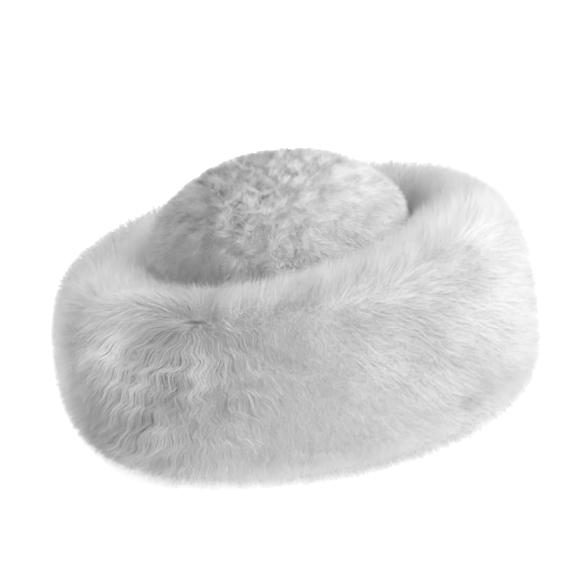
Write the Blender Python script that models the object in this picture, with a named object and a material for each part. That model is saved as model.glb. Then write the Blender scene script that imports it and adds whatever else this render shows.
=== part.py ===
"""A round fur hat, resting on its rim: a short-fur crown inside a deep cuff of long fur.

Metres, +Z up. The hat's front is towards -Y, its long axis runs front to back, and the
finished part stands on the middle of its own footprint.
"""
import math
import random

import bmesh
import bpy
import numpy as np
from mathutils import Vector

for old in list(bpy.data.objects):
    bpy.data.objects.remove(old)

MM = 0.001

# The head oval of a 58 cm size, and the crown that is sewn round it.
HEAD_WIDTH = 166 * MM
HEAD_LENGTH = 196 * MM
CROWN_WALL = 9 * MM              # hide and sheared pile together
CROWN_EDGE_Z = 4 * MM            # the crown's lower edge stays just off the surface
CROWN_SPRING_Z = 70 * MM         # where the upright side turns into the dome
CROWN_TOP_Z = 163 * MM
DOME_SHOULDER = 2.5              # fullness of the dome, 2 is an ellipse
DOME_FLATNESS = 2.7
DOME_LEAN = (4 * MM, -2 * MM)    # how far the soft top leans over

# The cuff: a roll of long fur round the crown.
SEAT_GAP = 0.4 * MM              # between the crown and the cuff's backing
CUFF_WIDTH = 73 * MM             # from the backing to the tips of the fur
CUFF_WIDTH_SWING = 6 * MM        # the roll is fuller on one side
CUFF_WIDTH_AZ = -22.0            # degrees from +X to the fuller side
CUFF_HEIGHT = 118 * MM
CUFF_HEIGHT_SWING = 8 * MM
CUFF_HEIGHT_AZ = -15.0
CREST_SHARE = 0.53               # the crest's place across the roll
BELLY_SHARE = 0.40               # height of the widest place
TOP_ROUNDING = 2.35
FOOT_ROUNDING = 5.5
GROOVE_DEPTH = 24 * MM           # the crest stands over the furrow beside the crown

# The locks, in rows from the furrow over the crest and down to the foot.
LOCK_ROWS = 5
LOCKS_ROUND = 40
LOCK_COLUMNS = 4                 # mesh columns across one lock
LOCK_DEPTH = 8 * MM
LOCK_POINT = 0.26                # how far a tip runs past its row, in rows
LOCK_VALLEY = 0.5                # how deep the gap between two locks is, in lock depths
LOCK_SWEEP = 11 * MM             # sideways drift of the tips
PARTING_AZ = -97.0               # degrees from +X to where the hair parts, left and right
PARTING_SPREAD = 50.0            # degrees over which the sideways sweep fades
SEED = 7

# One lock from its root to its tip: how far along its row, how deep under the outer form
# in lock depths, and how much of the valley between locks it shows.
LOCK_FORM = (
    # along, depth, valley
    (0.00, 1.00, 0.0),
    (0.22, 0.58, 0.4),
    (0.52, 0.22, 0.8),
    (0.85, 0.00, 1.0),
    (1.07, 0.28, 1.0),
)

# The crown's soft dents (inwards) and bumps (outwards).
CROWN_DENTS = (
    # azimuth deg, height mm, push mm, spread mm
    (20.0, 124.0, 5.0, 19.0),
    (-6.0, 118.0, -2.5, 15.0),
    (-40.0, 132.0, -2.5, 22.0),
    (-72.0, 120.0, 3.0, 17.0),
    (-98.0, 138.0, -3.0, 24.0),
    (-128.0, 118.0, 2.5, 26.0),
    (-178.0, 121.0, 2.5, 21.0),
    (95.0, 134.0, -3.0, 26.0),
    (60.0, 112.0, 2.5, 22.0),
)

CROWN_SECTIONS = 56
WALL_STEPS = 4
DOME_STEPS = 9


def oval(half_x, half_y, azimuth):
    """A point on an oval, by its parameter angle."""
    return half_x * math.cos(azimuth), half_y * math.sin(azimuth)


def material(name, colour, roughness):
    """A plain Principled material of one colour."""
    made = bpy.data.materials.new(name)
    made.use_nodes = True
    shader = made.node_tree.nodes["Principled BSDF"]
    shader.inputs["Base Color"].default_value = (*colour, 1.0)
    shader.inputs["Roughness"].default_value = roughness
    return made


def add_object(name, mesh_builder, made_material):
    """Turn a filled bmesh into one named, smooth-shaded object."""
    bmesh.ops.recalc_face_normals(mesh_builder, faces=mesh_builder.faces[:])
    for face in mesh_builder.faces:
        face.smooth = True
    mesh = bpy.data.meshes.new(name)
    mesh_builder.to_mesh(mesh)
    mesh_builder.free()
    mesh.materials.append(made_material)
    made = bpy.data.objects.new(name, mesh)
    bpy.context.scene.collection.objects.link(made)
    return made


def bridge(builder, lower, upper):
    """Quads between two closed rings of vertices."""
    count = len(lower)
    for i in range(count):
        j = (i + 1) % count
        builder.faces.new((lower[i], lower[j], upper[j], upper[i]))


def crown_ring(inset, share):
    """Half axes, height and lean of the crown at a share of its way up, 0 edge to 1 apex."""
    half_x = HEAD_WIDTH / 2 + CROWN_WALL - inset
    half_y = HEAD_LENGTH / 2 + CROWN_WALL - inset
    wall_share = 0.4
    if share <= wall_share:
        height = CROWN_EDGE_Z + (CROWN_SPRING_Z - CROWN_EDGE_Z) * share / wall_share
        return half_x, half_y, height, 0.0
    angle = math.radians(90) * (share - wall_share) / (1 - wall_share)
    narrowing = max(math.cos(angle), 0.0) ** (2 / DOME_SHOULDER)
    rise = math.sin(angle) ** (2 / DOME_FLATNESS)
    height = CROWN_SPRING_Z + (CROWN_TOP_Z - inset - CROWN_SPRING_Z) * rise
    return half_x * narrowing, half_y * narrowing, height, math.sin(angle) ** 2


def dent_push(place):
    """How far the soft shell is pushed out of, or into, its even form at a place."""
    push = 0.0
    for azimuth, height, depth, spread in CROWN_DENTS:
        angle = math.radians(azimuth)
        half_x = HEAD_WIDTH / 2 + CROWN_WALL
        half_y = HEAD_LENGTH / 2 + CROWN_WALL
        rise = min(max((height * MM - CROWN_SPRING_Z) / (CROWN_TOP_Z - CROWN_SPRING_Z), 0.0), 1.0)
        reach = (1 - rise ** DOME_FLATNESS) ** (1 / DOME_SHOULDER)
        centre = Vector((*oval(half_x * reach, half_y * reach, angle), height * MM))
        distance = (place - centre).length / (spread * MM)
        push += depth * MM * math.exp(-distance * distance)
    return push


def crown_place(inset, share, azimuth):
    """A point on the crown's skin, with its dents."""
    half_x, half_y, height, lean = crown_ring(inset, share)
    x, y = oval(half_x, half_y, azimuth)
    place = Vector((x, y, height))
    outward = Vector((x, y, max(height - CROWN_SPRING_Z, 0.0))).normalized()
    if height > CROWN_SPRING_Z:
        place += outward * dent_push(place + outward * inset)
    return place + Vector((DOME_LEAN[0], DOME_LEAN[1], 0.0)) * lean


def build_crown(made_material):
    """The cap: an outer and an inner skin, joined round the lower edge."""
    builder = bmesh.new()
    wall = [0.4 * i / WALL_STEPS for i in range(WALL_STEPS)]
    dome = [0.4 + 0.6 * i / DOME_STEPS for i in range(DOME_STEPS)]
    dome.append(0.4 + 0.6 * (DOME_STEPS - 0.35) / DOME_STEPS)
    azimuths = [math.tau * i / CROWN_SECTIONS for i in range(CROWN_SECTIONS)]
    skins = []
    for inset in (0.0, CROWN_WALL):
        rings = [[builder.verts.new(crown_place(inset, share, a)) for a in azimuths] for share in wall + dome]
        for lower, upper in zip(rings, rings[1:]):
            bridge(builder, lower, upper)
        apex = builder.verts.new(crown_place(inset, 1.0, 0.0))
        top = rings[-1]
        for i in range(CROWN_SECTIONS):
            builder.faces.new((top[i], top[(i + 1) % CROWN_SECTIONS], apex))
        skins.append(rings)
    bridge(builder, skins[1][0], skins[0][0])
    return add_object("crown", builder, made_material)


def swing(mean, amount, high_azimuth, azimuth):
    """A size that grows towards one side of the hat."""
    return mean + amount * math.cos(azimuth - math.radians(high_azimuth))


def cuff_form(azimuth):
    """The even outer form of the roll at one azimuth: distance from the backing, height
    and outward direction along its arc, from the furrow over the crest to the foot."""
    width = swing(CUFF_WIDTH, CUFF_WIDTH_SWING, CUFF_WIDTH_AZ, azimuth)
    height = swing(CUFF_HEIGHT, CUFF_HEIGHT_SWING, CUFF_HEIGHT_AZ, azimuth)
    crest = CREST_SHARE * width
    belly = BELLY_SHARE * height
    turn = np.linspace(0, math.pi / 2, 60)
    rise, fall = np.sin(turn), np.cos(turn)
    inner = (crest * (1 - fall), height - GROOVE_DEPTH * (1 - rise))
    top = (crest + (width - crest) * rise ** (2 / TOP_ROUNDING),
           belly + (height - belly) * fall ** (2 / TOP_ROUNDING))
    foot = (crest + (width - crest) * fall ** (2 / FOOT_ROUNDING),
            belly * (1 - rise ** (2 / FOOT_ROUNDING)))
    across = np.concatenate([part[0] for part in (inner, top, foot)])
    up = np.concatenate([part[1] for part in (inner, top, foot)])
    keep = np.concatenate([[True], np.hypot(np.diff(across), np.diff(up)) > 1e-7])
    across, up = across[keep], up[keep]
    along = np.concatenate([[0.0], np.cumsum(np.hypot(np.diff(across), np.diff(up)))])
    return across, up, along / along[-1]


def form_point(form, share, depth):
    """A point on the roll's form at a share of its arc, sunk by a depth."""
    across, up, along = form
    share = min(max(share, 0.0), 1.0)
    step = 0.012
    here = np.array([np.interp(share, along, across), np.interp(share, along, up)])
    before = max(share - step, 0.0)
    after = min(share + step, 1.0)
    tangent = np.array([np.interp(after, along, across) - np.interp(before, along, across),
                        np.interp(after, along, up) - np.interp(before, along, up)])
    tangent /= np.hypot(*tangent)
    outward = np.array([-tangent[1], tangent[0]])
    return here - outward * depth


def sweep_at(azimuth):
    """Sideways drift of the tips: away from the parting on both sides of it."""
    away = (math.degrees(azimuth) - PARTING_AZ + 180.0) % 360.0 - 180.0
    return LOCK_SWEEP * (away / PARTING_SPREAD) * math.exp(0.5 - 0.5 * (away / PARTING_SPREAD) ** 2)


def build_cuff(made_material):
    """The roll: its backing, its furrow, the staggered rows of locks and its flat foot."""
    chance = random.Random(SEED)
    columns = LOCKS_ROUND * LOCK_COLUMNS
    length_change = [[chance.uniform(-0.12, 0.12) for _ in range(LOCKS_ROUND)] for _ in range(LOCK_ROWS)]
    depth_change = [[chance.uniform(0.75, 1.15) for _ in range(LOCKS_ROUND)] for _ in range(LOCK_ROWS)]
    back_x = HEAD_WIDTH / 2 + CROWN_WALL + SEAT_GAP
    back_y = HEAD_LENGTH / 2 + CROWN_WALL + SEAT_GAP

    def lock_of(row, column):
        """The lock at a mesh column of a row, and the ridge share there: 1 ridge, 0 valley."""
        shifted = column + (LOCK_COLUMNS // 2 if row % 2 else 0)
        lock = (shifted // LOCK_COLUMNS) % LOCKS_ROUND
        across = (shifted % LOCK_COLUMNS) / LOCK_COLUMNS
        return lock, 1 - abs(2 * across - 1)

    def row_end(row, column):
        """Where a row ends on the arc, in rows: later at a ridge, earlier in a valley."""
        if row < 0:
            return 0.0
        if row == LOCK_ROWS - 1:
            return float(LOCK_ROWS)
        lock, ridge = lock_of(row, column)
        return row + 1 + LOCK_POINT * (2 * ridge - 1) + length_change[row][lock] * ridge

    builder = bmesh.new()
    loops = []
    for column in range(columns):
        azimuth = math.tau * column / columns
        form = cuff_form(azimuth)
        section = [(0.0, 0.0, azimuth), (0.0, form[1][0] * 0.5, azimuth)]
        for row in range(LOCK_ROWS):
            lock, ridge = lock_of(row, column)
            start, end = row_end(row - 1, column), row_end(row, column)
            for along, depth, valley in LOCK_FORM:
                sunk = depth + LOCK_VALLEY * valley * (1 - ridge)
                if row == 0:
                    sunk *= min(along * 1.6, 1.0)
                if row == LOCK_ROWS - 1:
                    sunk *= max(1 - along, 0.0)
                    along = min(along, 0.97)
                share = (start + (end - start) * along) / LOCK_ROWS
                rho, height = form_point(form, share, sunk * depth_change[row][lock] * LOCK_DEPTH)
                drift = sweep_at(azimuth) * along ** 2 * ridge / (back_x + rho)
                section.append((rho, height, azimuth + drift))
        crest = CREST_SHARE * swing(CUFF_WIDTH, CUFF_WIDTH_SWING, CUFF_WIDTH_AZ, azimuth)
        section.append((crest + 12 * MM, 0.0, azimuth))
        section.append((crest * 0.5, 0.0, azimuth))
        loop = []
        for rho, height, place_azimuth in section:
            x, y = oval(back_x + rho, back_y + rho, place_azimuth)
            loop.append(builder.verts.new((x, y, max(height, 0.0))))
        loops.append(loop)
    for i, loop in enumerate(loops):
        bridge(builder, loop, loops[(i + 1) % columns])
    return add_object("fur_cuff", builder, made_material)


def stand_on_origin(pieces):
    """Move every piece so that the whole stands on the middle of its footprint."""
    corners = [vertex.co for piece in pieces for vertex in piece.data.vertices]
    low = [min(corner[i] for corner in corners) for i in range(3)]
    high = [max(corner[i] for corner in corners) for i in range(3)]
    shift = Vector((-(low[0] + high[0]) / 2, -(low[1] + high[1]) / 2, -low[2]))
    for piece in pieces:
        for vertex in piece.data.vertices:
            vertex.co += shift


crown_fur = material("crown_fur", (0.62, 0.62, 0.62), 0.85)
cuff_fur = material("cuff_fur", (0.74, 0.74, 0.74), 0.80)
stand_on_origin([build_crown(crown_fur), build_cuff(cuff_fur)])
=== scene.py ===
# %% [markdown]
# # A round fur hat, dressed over its CAD frame
# This lesson gives a plain CAD hat its fur. The CAD model is two firm solids, a crown and a
# rolled cuff. The real hat is a hide with hair on it: sheared to a plush on the crown, and
# left long and silky on the cuff. So each solid is swapped for a thin skin that lies a little
# under it, and real hairs are grown from that skin until their tips reach the solid's form.

# %% Load the frame
import math

import bmesh
import bpy
import numpy as np
from mathutils import Matrix, Vector, noise


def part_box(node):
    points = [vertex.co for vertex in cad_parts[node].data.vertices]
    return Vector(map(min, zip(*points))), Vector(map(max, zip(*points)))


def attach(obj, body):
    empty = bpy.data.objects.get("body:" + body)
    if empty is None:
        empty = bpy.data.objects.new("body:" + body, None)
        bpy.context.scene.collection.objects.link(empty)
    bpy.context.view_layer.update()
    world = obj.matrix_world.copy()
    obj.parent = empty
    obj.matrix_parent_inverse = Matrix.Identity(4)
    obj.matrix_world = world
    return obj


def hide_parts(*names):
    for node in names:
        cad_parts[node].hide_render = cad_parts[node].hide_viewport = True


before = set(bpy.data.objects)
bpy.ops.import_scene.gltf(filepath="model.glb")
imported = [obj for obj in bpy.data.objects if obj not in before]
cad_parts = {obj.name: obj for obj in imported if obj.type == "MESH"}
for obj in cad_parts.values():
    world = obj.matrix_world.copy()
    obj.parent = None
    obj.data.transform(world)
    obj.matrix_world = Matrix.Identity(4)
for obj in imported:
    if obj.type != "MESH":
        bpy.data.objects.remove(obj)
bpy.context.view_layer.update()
crown_low, crown_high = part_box("crown")
scene = bpy.context.scene
MM = 0.001
NOISE_SEED = 4
noise.seed_set(NOISE_SEED)        # without it, noise_vector starts from the clock, and no two hats match


def link_new(name, data, *materials):
    """Put a new mesh, light or camera into the scene, at the origin."""
    for material in materials:
        data.materials.append(material)
    made = bpy.data.objects.new(name, data)
    scene.collection.objects.link(made)
    return made


# %% [markdown]
# ## The hat's own sizes
# The crown and the cuff are worked out from the same few sizes as the CAD solids, because a
# formula gives clean, even skins, and a copy of the solids' faceted meshes would not. The
# solids were moved to stand on the middle of their footprint, so the crown's place is read
# from the frame.

# %% Sizes of the crown and the cuff
HEAD_WIDTH, HEAD_LENGTH = 166 * MM, 196 * MM
CROWN_WALL = 9 * MM
CROWN_EDGE_Z, CROWN_SPRING_Z, CROWN_TOP_Z = 4 * MM, 70 * MM, 163 * MM
DOME_SHOULDER, DOME_FLATNESS = 2.5, 2.7
DOME_LEAN = (4 * MM, -2 * MM)
SEAT_GAP = 0.4 * MM
CUFF_WIDTH, CUFF_WIDTH_SWING, CUFF_WIDTH_AZ = 73 * MM, 6 * MM, -22.0
CUFF_HEIGHT, CUFF_HEIGHT_SWING, CUFF_HEIGHT_AZ = 118 * MM, 8 * MM, -15.0
CREST_SHARE, BELLY_SHARE = 0.53, 0.40
TOP_ROUNDING, FOOT_ROUNDING = 2.35, 5.5
GROOVE_DEPTH = 24 * MM
CENTRE = Vector(((crown_low.x + crown_high.x) / 2, (crown_low.y + crown_high.y) / 2, 0.0))
HALF_X, HALF_Y = HEAD_WIDTH / 2 + CROWN_WALL, HEAD_LENGTH / 2 + CROWN_WALL
print("crown centre in mm:", [round(v / MM, 2) for v in CENTRE])

# %% [markdown]
# ## Camera, light and floor
# A long lens from a metre and a half keeps the hat's sides almost parallel, as in a shop
# photograph, and the camera is rolled a few degrees, because the picture's hat leans. The
# light is a high, broad key from the right with a pale room round it, so the left side of
# the fur falls softly into grey and nothing casts a hard shadow.

# %% Camera
CAMERA_AZIMUTH, CAMERA_ELEVATION, CAMERA_ROLL = 13.9, 22.1, 7.1
CAMERA_DISTANCE = 1.5
PICTURE_WIDTH = 399 * MM          # what the frame takes in at the hat's middle
AIM_RIGHT, AIM_UP = 1.8 * MM, 69 * MM


def camera_axes():
    """Right, up and backward directions of the camera at its angle, before its roll."""
    turn, tilt = math.radians(CAMERA_AZIMUTH), math.radians(CAMERA_ELEVATION)
    back = Vector((math.sin(turn) * math.cos(tilt), -math.cos(turn) * math.cos(tilt), math.sin(tilt)))
    right = Vector((math.cos(turn), math.sin(turn), 0.0))
    return right, back.cross(right), back


right, up, back = camera_axes()
camera_data = bpy.data.cameras.new("camera")
camera = link_new("camera", camera_data)
scene.camera = camera
camera_data.lens = camera_data.sensor_width * CAMERA_DISTANCE / PICTURE_WIDTH
eye = CENTRE + back * CAMERA_DISTANCE
target = CENTRE + right * AIM_RIGHT + up * AIM_UP
aim = (target - eye).to_track_quat("-Z", "Y").to_matrix().to_4x4()
roll = Matrix.Rotation(math.radians(-CAMERA_ROLL), 4, "Z")
camera.matrix_world = Matrix.Translation(eye) @ aim @ roll
print("lens in mm:", round(camera_data.lens, 1))

# %% Light
scene.view_settings.view_transform = "Standard"
scene.view_settings.look = "None"
scene.cycles.diffuse_bounces = 8  # light goes from hair to hair many times in pale fur
scene.cycles.filter_width = 1.7   # as soft as a lens draws such fine hair
WHITE = (1.0, 1.0, 1.0, 1.0)
ROOM_STRENGTH = 0.83
LIGHT_AIM = Vector((0.0, 0.0, 80 * MM))
world = bpy.data.worlds.new("pale_room")
scene.world = world
world.use_nodes = True
room = world.node_tree.nodes["Background"]
room.inputs["Color"].default_value = WHITE
room.inputs["Strength"].default_value = ROOM_STRENGTH


def soft_light(name, place, size, watts):
    """A square studio panel that faces the hat."""
    data = bpy.data.lights.new(name, "AREA")
    data.shape = "SQUARE"
    data.size = size
    data.energy = watts
    made = link_new(name, data)
    made.location = place
    made.rotation_euler = (LIGHT_AIM - Vector(place)).to_track_quat("-Z", "Y").to_euler()


soft_light("key_panel", (2.1, -0.2, 2.0), 2.6, 74.0)
soft_light("back_panel", (-1.7, 1.5, 1.9), 1.6, 26.0)
print("lights:", [light.name for light in bpy.data.lights])

# %% [markdown]
# ## Helpers for materials and node trees
# One function adds a node, sets it up and joins it, for shaders and Geometry Nodes alike.
# Colours are written as the hex values that a paint program shows, and turned to the linear
# light that Blender works in.

# %% Node and colour helpers
def linear(hex_colour, alpha=1.0):
    """Linear colour from an sRGB hex value."""
    parts = [int(hex_colour[i:i + 2], 16) / 255 for i in (1, 3, 5)]
    return tuple(p / 12.92 if p <= 0.04045 else ((p + 0.055) / 1.055) ** 2.4 for p in parts) + (alpha,)


def add(tree, kind, joins=(), **settings):
    """Add a node; joins maps input names or places to a value or to another node's output."""
    made = tree.nodes.new(kind)
    for key, value in settings.items():
        setattr(made, key, value)
    for key, value in dict(joins).items():
        if isinstance(key, int):
            socket = made.inputs[key]
        else:
            socket = next(s for s in made.inputs if s.name == key and s.enabled)
        if isinstance(value, bpy.types.NodeSocket):
            tree.links.new(value, socket)
        else:
            socket.default_value = value
    return made


def out(node, name=None):
    """A node's first working output, or the one of that name."""
    return next(s for s in node.outputs if s.enabled and (name is None or s.name == name))


def new_material(name, roughness, **sockets):
    """A Principled material with its plain numbers set; returns it, its tree and shader."""
    made = bpy.data.materials.new(name)
    made.use_nodes = True
    shader = made.node_tree.nodes["Principled BSDF"]
    shader.inputs["Roughness"].default_value = roughness
    for key, value in sockets.items():
        shader.inputs[key.replace("_", " ")].default_value = value
    return made, made.node_tree, shader


def blend_colours(tree, share, first, second):
    """Mix two colours by a share from 0 to 1."""
    mix = add(tree, "ShaderNodeMix", {0: share}, data_type="RGBA", clamp_factor=True)
    for place, colour in ((6, first), (7, second)):
        if isinstance(colour, bpy.types.NodeSocket):
            tree.links.new(colour, mix.inputs[place])
        else:
            mix.inputs[place].default_value = colour
    return mix.outputs[2]


def maths(tree, operation, *values):
    """A Math node's result."""
    return add(tree, "ShaderNodeMath", dict(enumerate(values)), operation=operation).outputs[0]


def chained(tree, operation, values):
    """Math nodes that take the values in turn, two at a time."""
    total = values[0]
    for value in values[1:]:
        total = maths(tree, operation, total, value)
    return total


def plus(tree, *values):
    """The sum of some values."""
    return chained(tree, "ADD", values)


def times(tree, *values):
    """The product of some values."""
    return chained(tree, "MULTIPLY", values)


def vector_maths(tree, operation, *values, scale=None):
    """A Vector Math node's result."""
    joins = dict(enumerate(values))
    if scale is not None:
        joins["Scale"] = scale
    return add(tree, "ShaderNodeVectorMath", joins, operation=operation).outputs[0]


# %% Floor
FLOOR_HALF = 9.0                  # metres, so that no edge shows from any side
FLOOR_COLOUR = "#F2F2F2"
floor_material, _, _ = new_material(
    "painted_white_floor", 0.9, Base_Color=linear(FLOOR_COLOUR), Specular_IOR_Level=0.0,
    Emission_Color=WHITE, Emission_Strength=0.55)
floor_mesh = bpy.data.meshes.new("floor")
floor_corners = [(x * FLOOR_HALF, y * FLOOR_HALF, 0.0) for x, y in ((-1, -1), (1, -1), (1, 1), (-1, 1))]
floor_mesh.from_pydata(floor_corners, [], [(0, 1, 2, 3)])
link_new("floor", floor_mesh, floor_material)
print("floor half width in m:", FLOOR_HALF)

# %% [markdown]
# ## Fur fibres as a material
# A pale hair is a thin, glassy fibre: matt from afar, and a little brighter where light grazes
# it. The sheen gives the eye that soft edge. Long and sheared hairs are darker near the root,
# where their neighbours shade them. The brushed-up fluff is built the other way round, lighter
# at its root: the real fluff is so fine that light comes through it, and these hairs, which
# are thicker than real ones, would shade their roots too much.
#
# Each hair carries two numbers, stored on its mesh when it grew: `along`, 0 at the root and 1
# at the tip, and `tone`, its lightness: its own and its lock's, with the coat's painted light
# and shade. The material only reads those.

# %% Fur material
MIDDLE_AT = 0.35                  # where along the hair its middle colour lies


def fur_material(name, root, middle, tip, contrast, roughness):
    """Hair that blends from root to tip, each one made lighter or darker by its tone, painted light and shade
    included.
    """
    made, tree, shader = new_material(
        name, roughness, Specular_IOR_Level=0.25, Sheen_Weight=0.25, Sheen_Roughness=0.5)
    along = out(add(tree, "ShaderNodeAttribute", attribute_name="along"), "Fac")
    tone = out(add(tree, "ShaderNodeAttribute", attribute_name="tone"), "Fac")
    lower = add(tree, "ShaderNodeMapRange", {"Value": along, "From Max": MIDDLE_AT})
    upper = add(tree, "ShaderNodeMapRange", {"Value": along, "From Min": MIDDLE_AT})
    shaft = blend_colours(tree, out(lower), linear(root), linear(middle))
    shaft = blend_colours(tree, out(upper), shaft, linear(tip))
    # a tone under 1 darkens the hair; the tone holds painted light and shade
    darker = add(tree, "ShaderNodeMapRange", {"Value": tone, "To Min": 1.0 - contrast})
    tinted = vector_maths(tree, "SCALE", shaft, scale=out(darker))
    tree.links.new(tinted, shader.inputs["Base Color"])
    return made


long_fur = fur_material("long_silky_hair", "#DEDEDE", "#EFEFEF", "#F6F6F6", 0.55, 0.62)
airy_fur = fur_material("airy_brushed_hair", "#FAFAFA", "#F3F3F3", "#ECECEC", 0.55, 0.75)
short_fur = fur_material("sheared_plush_hair", "#D0D0D0", "#E2E2E2", "#F2F2F2", 0.50, 0.75)

# %% [markdown]
# ## Underfur and hide
# Between the long hairs shows the underfur, a dense pale wool. It is too fine to model hair
# by hair, so a noise that is stretched along the lie of the hair draws it. The skin's own map
# runs round the hat in U and down the lie in V. Where the coat over it is painted dark, and in
# the whorl's hollow, the wool is painted with shade too, or it would shine through the gaps.
# Inside the crown is bare suede: a low nap with a fine grain and cloudy patches.

# %% Underfur and suede materials
STREAK_PITCH = 0.9 * MM           # real wool is finer than the render shows, so it is drawn coarser
WOOL_PATCH, SUEDE_CLOUD, SUEDE_GRAIN = 18.2 * MM, 26.3 * MM, 0.714 * MM


def patchy(tree, place, size, detail):
    """A noise whose patches have a real size."""
    return add(tree, "ShaderNodeTexNoise", {"Vector": place, "Scale": 1 / size, "Detail": detail}).outputs[0]


def join_surface(tree, shader, colour, height, strength, depth):
    """Give the shader its colour, and a bump of a real depth."""
    tree.links.new(colour, shader.inputs["Base Color"])
    bump = add(tree, "ShaderNodeBump", {"Height": height, "Strength": strength, "Distance": depth})
    tree.links.new(out(bump), shader.inputs["Normal"])


def underfur_material(name, dark, pale, way_round, way_down, streak):
    """Streaky wool on a skin of that length round and down, drawn along V of its map, and painted darker, as
    painted shade, where the skin's dark number says.
    """
    made, tree, shader = new_material(name, 0.85, Specular_IOR_Level=0.15, Sheen_Weight=0.2)
    uv = out(add(tree, "ShaderNodeUVMap", uv_map="coat_map"))
    counts = (way_round / STREAK_PITCH, way_down / streak, 1.0)
    stretched = out(add(tree, "ShaderNodeMapping", {"Vector": uv, "Scale": counts}))
    streaks = add(tree, "ShaderNodeTexNoise", {"Vector": stretched, "Scale": 1.0, "Detail": 3.0}).outputs[0]
    patches = patchy(tree, out(add(tree, "ShaderNodeTexCoord"), "Object"), WOOL_PATCH, 2.0)
    both = plus(tree, times(tree, streaks, 0.6), times(tree, patches, 0.4))
    share = out(add(tree, "ShaderNodeMapRange", {"Value": both, "From Min": 0.35, "From Max": 0.65}))
    wool = blend_colours(tree, share, linear(dark), linear(pale))
    # painted shade: the wool turns grey where the skin's dark number is high
    painted_shade = out(add(tree, "ShaderNodeAttribute", attribute_name="dark"), "Fac")
    join_surface(tree, shader, blend_colours(tree, painted_shade, wool, linear("#787878")), streaks, 0.6, 0.8 * MM)
    return made


cuff_underfur = underfur_material("cuff_underfur_wool", "#ECECEC", "#F6F6F6", 1.05, 0.20, 12 * MM)
crown_underfur = underfur_material("crown_underfur_wool", "#B8B8B8", "#DADADA", 0.60, 0.12, 4 * MM)


def suede_material():
    """The flesh side of the hide: a brushed nap, cloudy, with a fine grain."""
    made, tree, shader = new_material("brushed_suede_hide", 0.92, Specular_IOR_Level=0.2, Sheen_Weight=0.35)
    place = out(add(tree, "ShaderNodeTexCoord"), "Object")
    clouds = patchy(tree, place, SUEDE_CLOUD, 3.0)
    share = out(add(tree, "ShaderNodeMapRange", {"Value": clouds, "From Min": 0.3, "From Max": 0.7}))
    colour = blend_colours(tree, share, linear("#B9B2A8"), linear("#D3CDC3"))
    join_surface(tree, shader, colour, patchy(tree, place, SUEDE_GRAIN, 2.0), 0.35, 0.3 * MM)
    return made


suede = suede_material()
print("materials:", [m.name for m in bpy.data.materials])

# %% [markdown]
# ## The cuff's skin
# The cuff is a roll round the crown. Its section is a soft arch: up out of the furrow beside
# the crown, over the crest, round the belly and under to the foot. The skin lies a hair's
# rise under the solid. Wool fills the furrow in front, so the skin is raised there and its
# crest made rounder. Only at the back right does the furrow gape.

# %% Section of the cuff
FUR_RISE = 11 * MM                # from the skin to the tips of the long fur
FURROW_RISE, FOOT_RISE = 4 * MM, 3 * MM
OPEN_FURROW_AZ, OPEN_FURROW_SPREAD = 38.0, 42.0   # only here does the furrow show its depth
INTO_THE_PLUSH = 7 * MM           # how far the wool then laps over the crown's edge
FURROW_LEFT = 3 * MM              # depth left in the skin where the wool fills the furrow
EDGE_RISE, EDGE_RISE_SWING, EDGE_RISE_AZ = 5.5 * MM, -2.5 * MM, -40.0   # where the roll turns under
CREST_BLUR = np.hanning(11)[1:-1] / 5    # weights that add up to 1
SEAT_START = 2 * MM               # how far the skin starts from the crown where the furrow gapes


def turn_from(azimuth, middle):
    """Degrees from a chosen azimuth, between -180 and 180."""
    return (math.degrees(azimuth) - middle + 180) % 360 - 180


def closed_at(azimuth):
    """1 where wool fills the furrow, 0 where it gapes."""
    return 1 - math.exp(-(turn_from(azimuth, OPEN_FURROW_AZ) / OPEN_FURROW_SPREAD) ** 2)


def smooth(value, low, high):
    """0 below low, 1 above high, and a soft step between."""
    share = min(max((value - low) / (high - low), 0.0), 1.0)
    return share * share * (3 - 2 * share)


def swing(mean, amount, high_azimuth, azimuth):
    """A size that grows towards one side of the hat."""
    return mean + amount * math.cos(azimuth - math.radians(high_azimuth))


def cuff_form(azimuth):
    """Distance from the backing, height and share of the arc, from the furrow to the foot."""
    width = swing(CUFF_WIDTH, CUFF_WIDTH_SWING, CUFF_WIDTH_AZ, azimuth)
    height = swing(CUFF_HEIGHT, CUFF_HEIGHT_SWING, CUFF_HEIGHT_AZ, azimuth)
    crest, belly = CREST_SHARE * width, BELLY_SHARE * height
    turn = np.linspace(0, math.pi / 2, 60)
    rise, fall = np.sin(turn), np.cos(turn)
    inner = (crest * (1 - fall), height - GROOVE_DEPTH * (1 - rise))
    top = (crest + (width - crest) * rise ** (2 / TOP_ROUNDING),
           belly + (height - belly) * fall ** (2 / TOP_ROUNDING))
    foot = (crest + (width - crest) * fall ** (2 / FOOT_ROUNDING),
            belly * (1 - rise ** (2 / FOOT_ROUNDING)))
    across = np.concatenate([part[0] for part in (inner, top, foot)])
    height_up = np.concatenate([part[1] for part in (inner, top, foot)])
    keep = np.concatenate([[True], np.hypot(np.diff(across), np.diff(height_up)) > 1e-7])
    across, height_up = across[keep], height_up[keep]
    along = np.concatenate([[0.0], np.cumsum(np.hypot(np.diff(across), np.diff(height_up)))])
    return across, height_up, along


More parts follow.
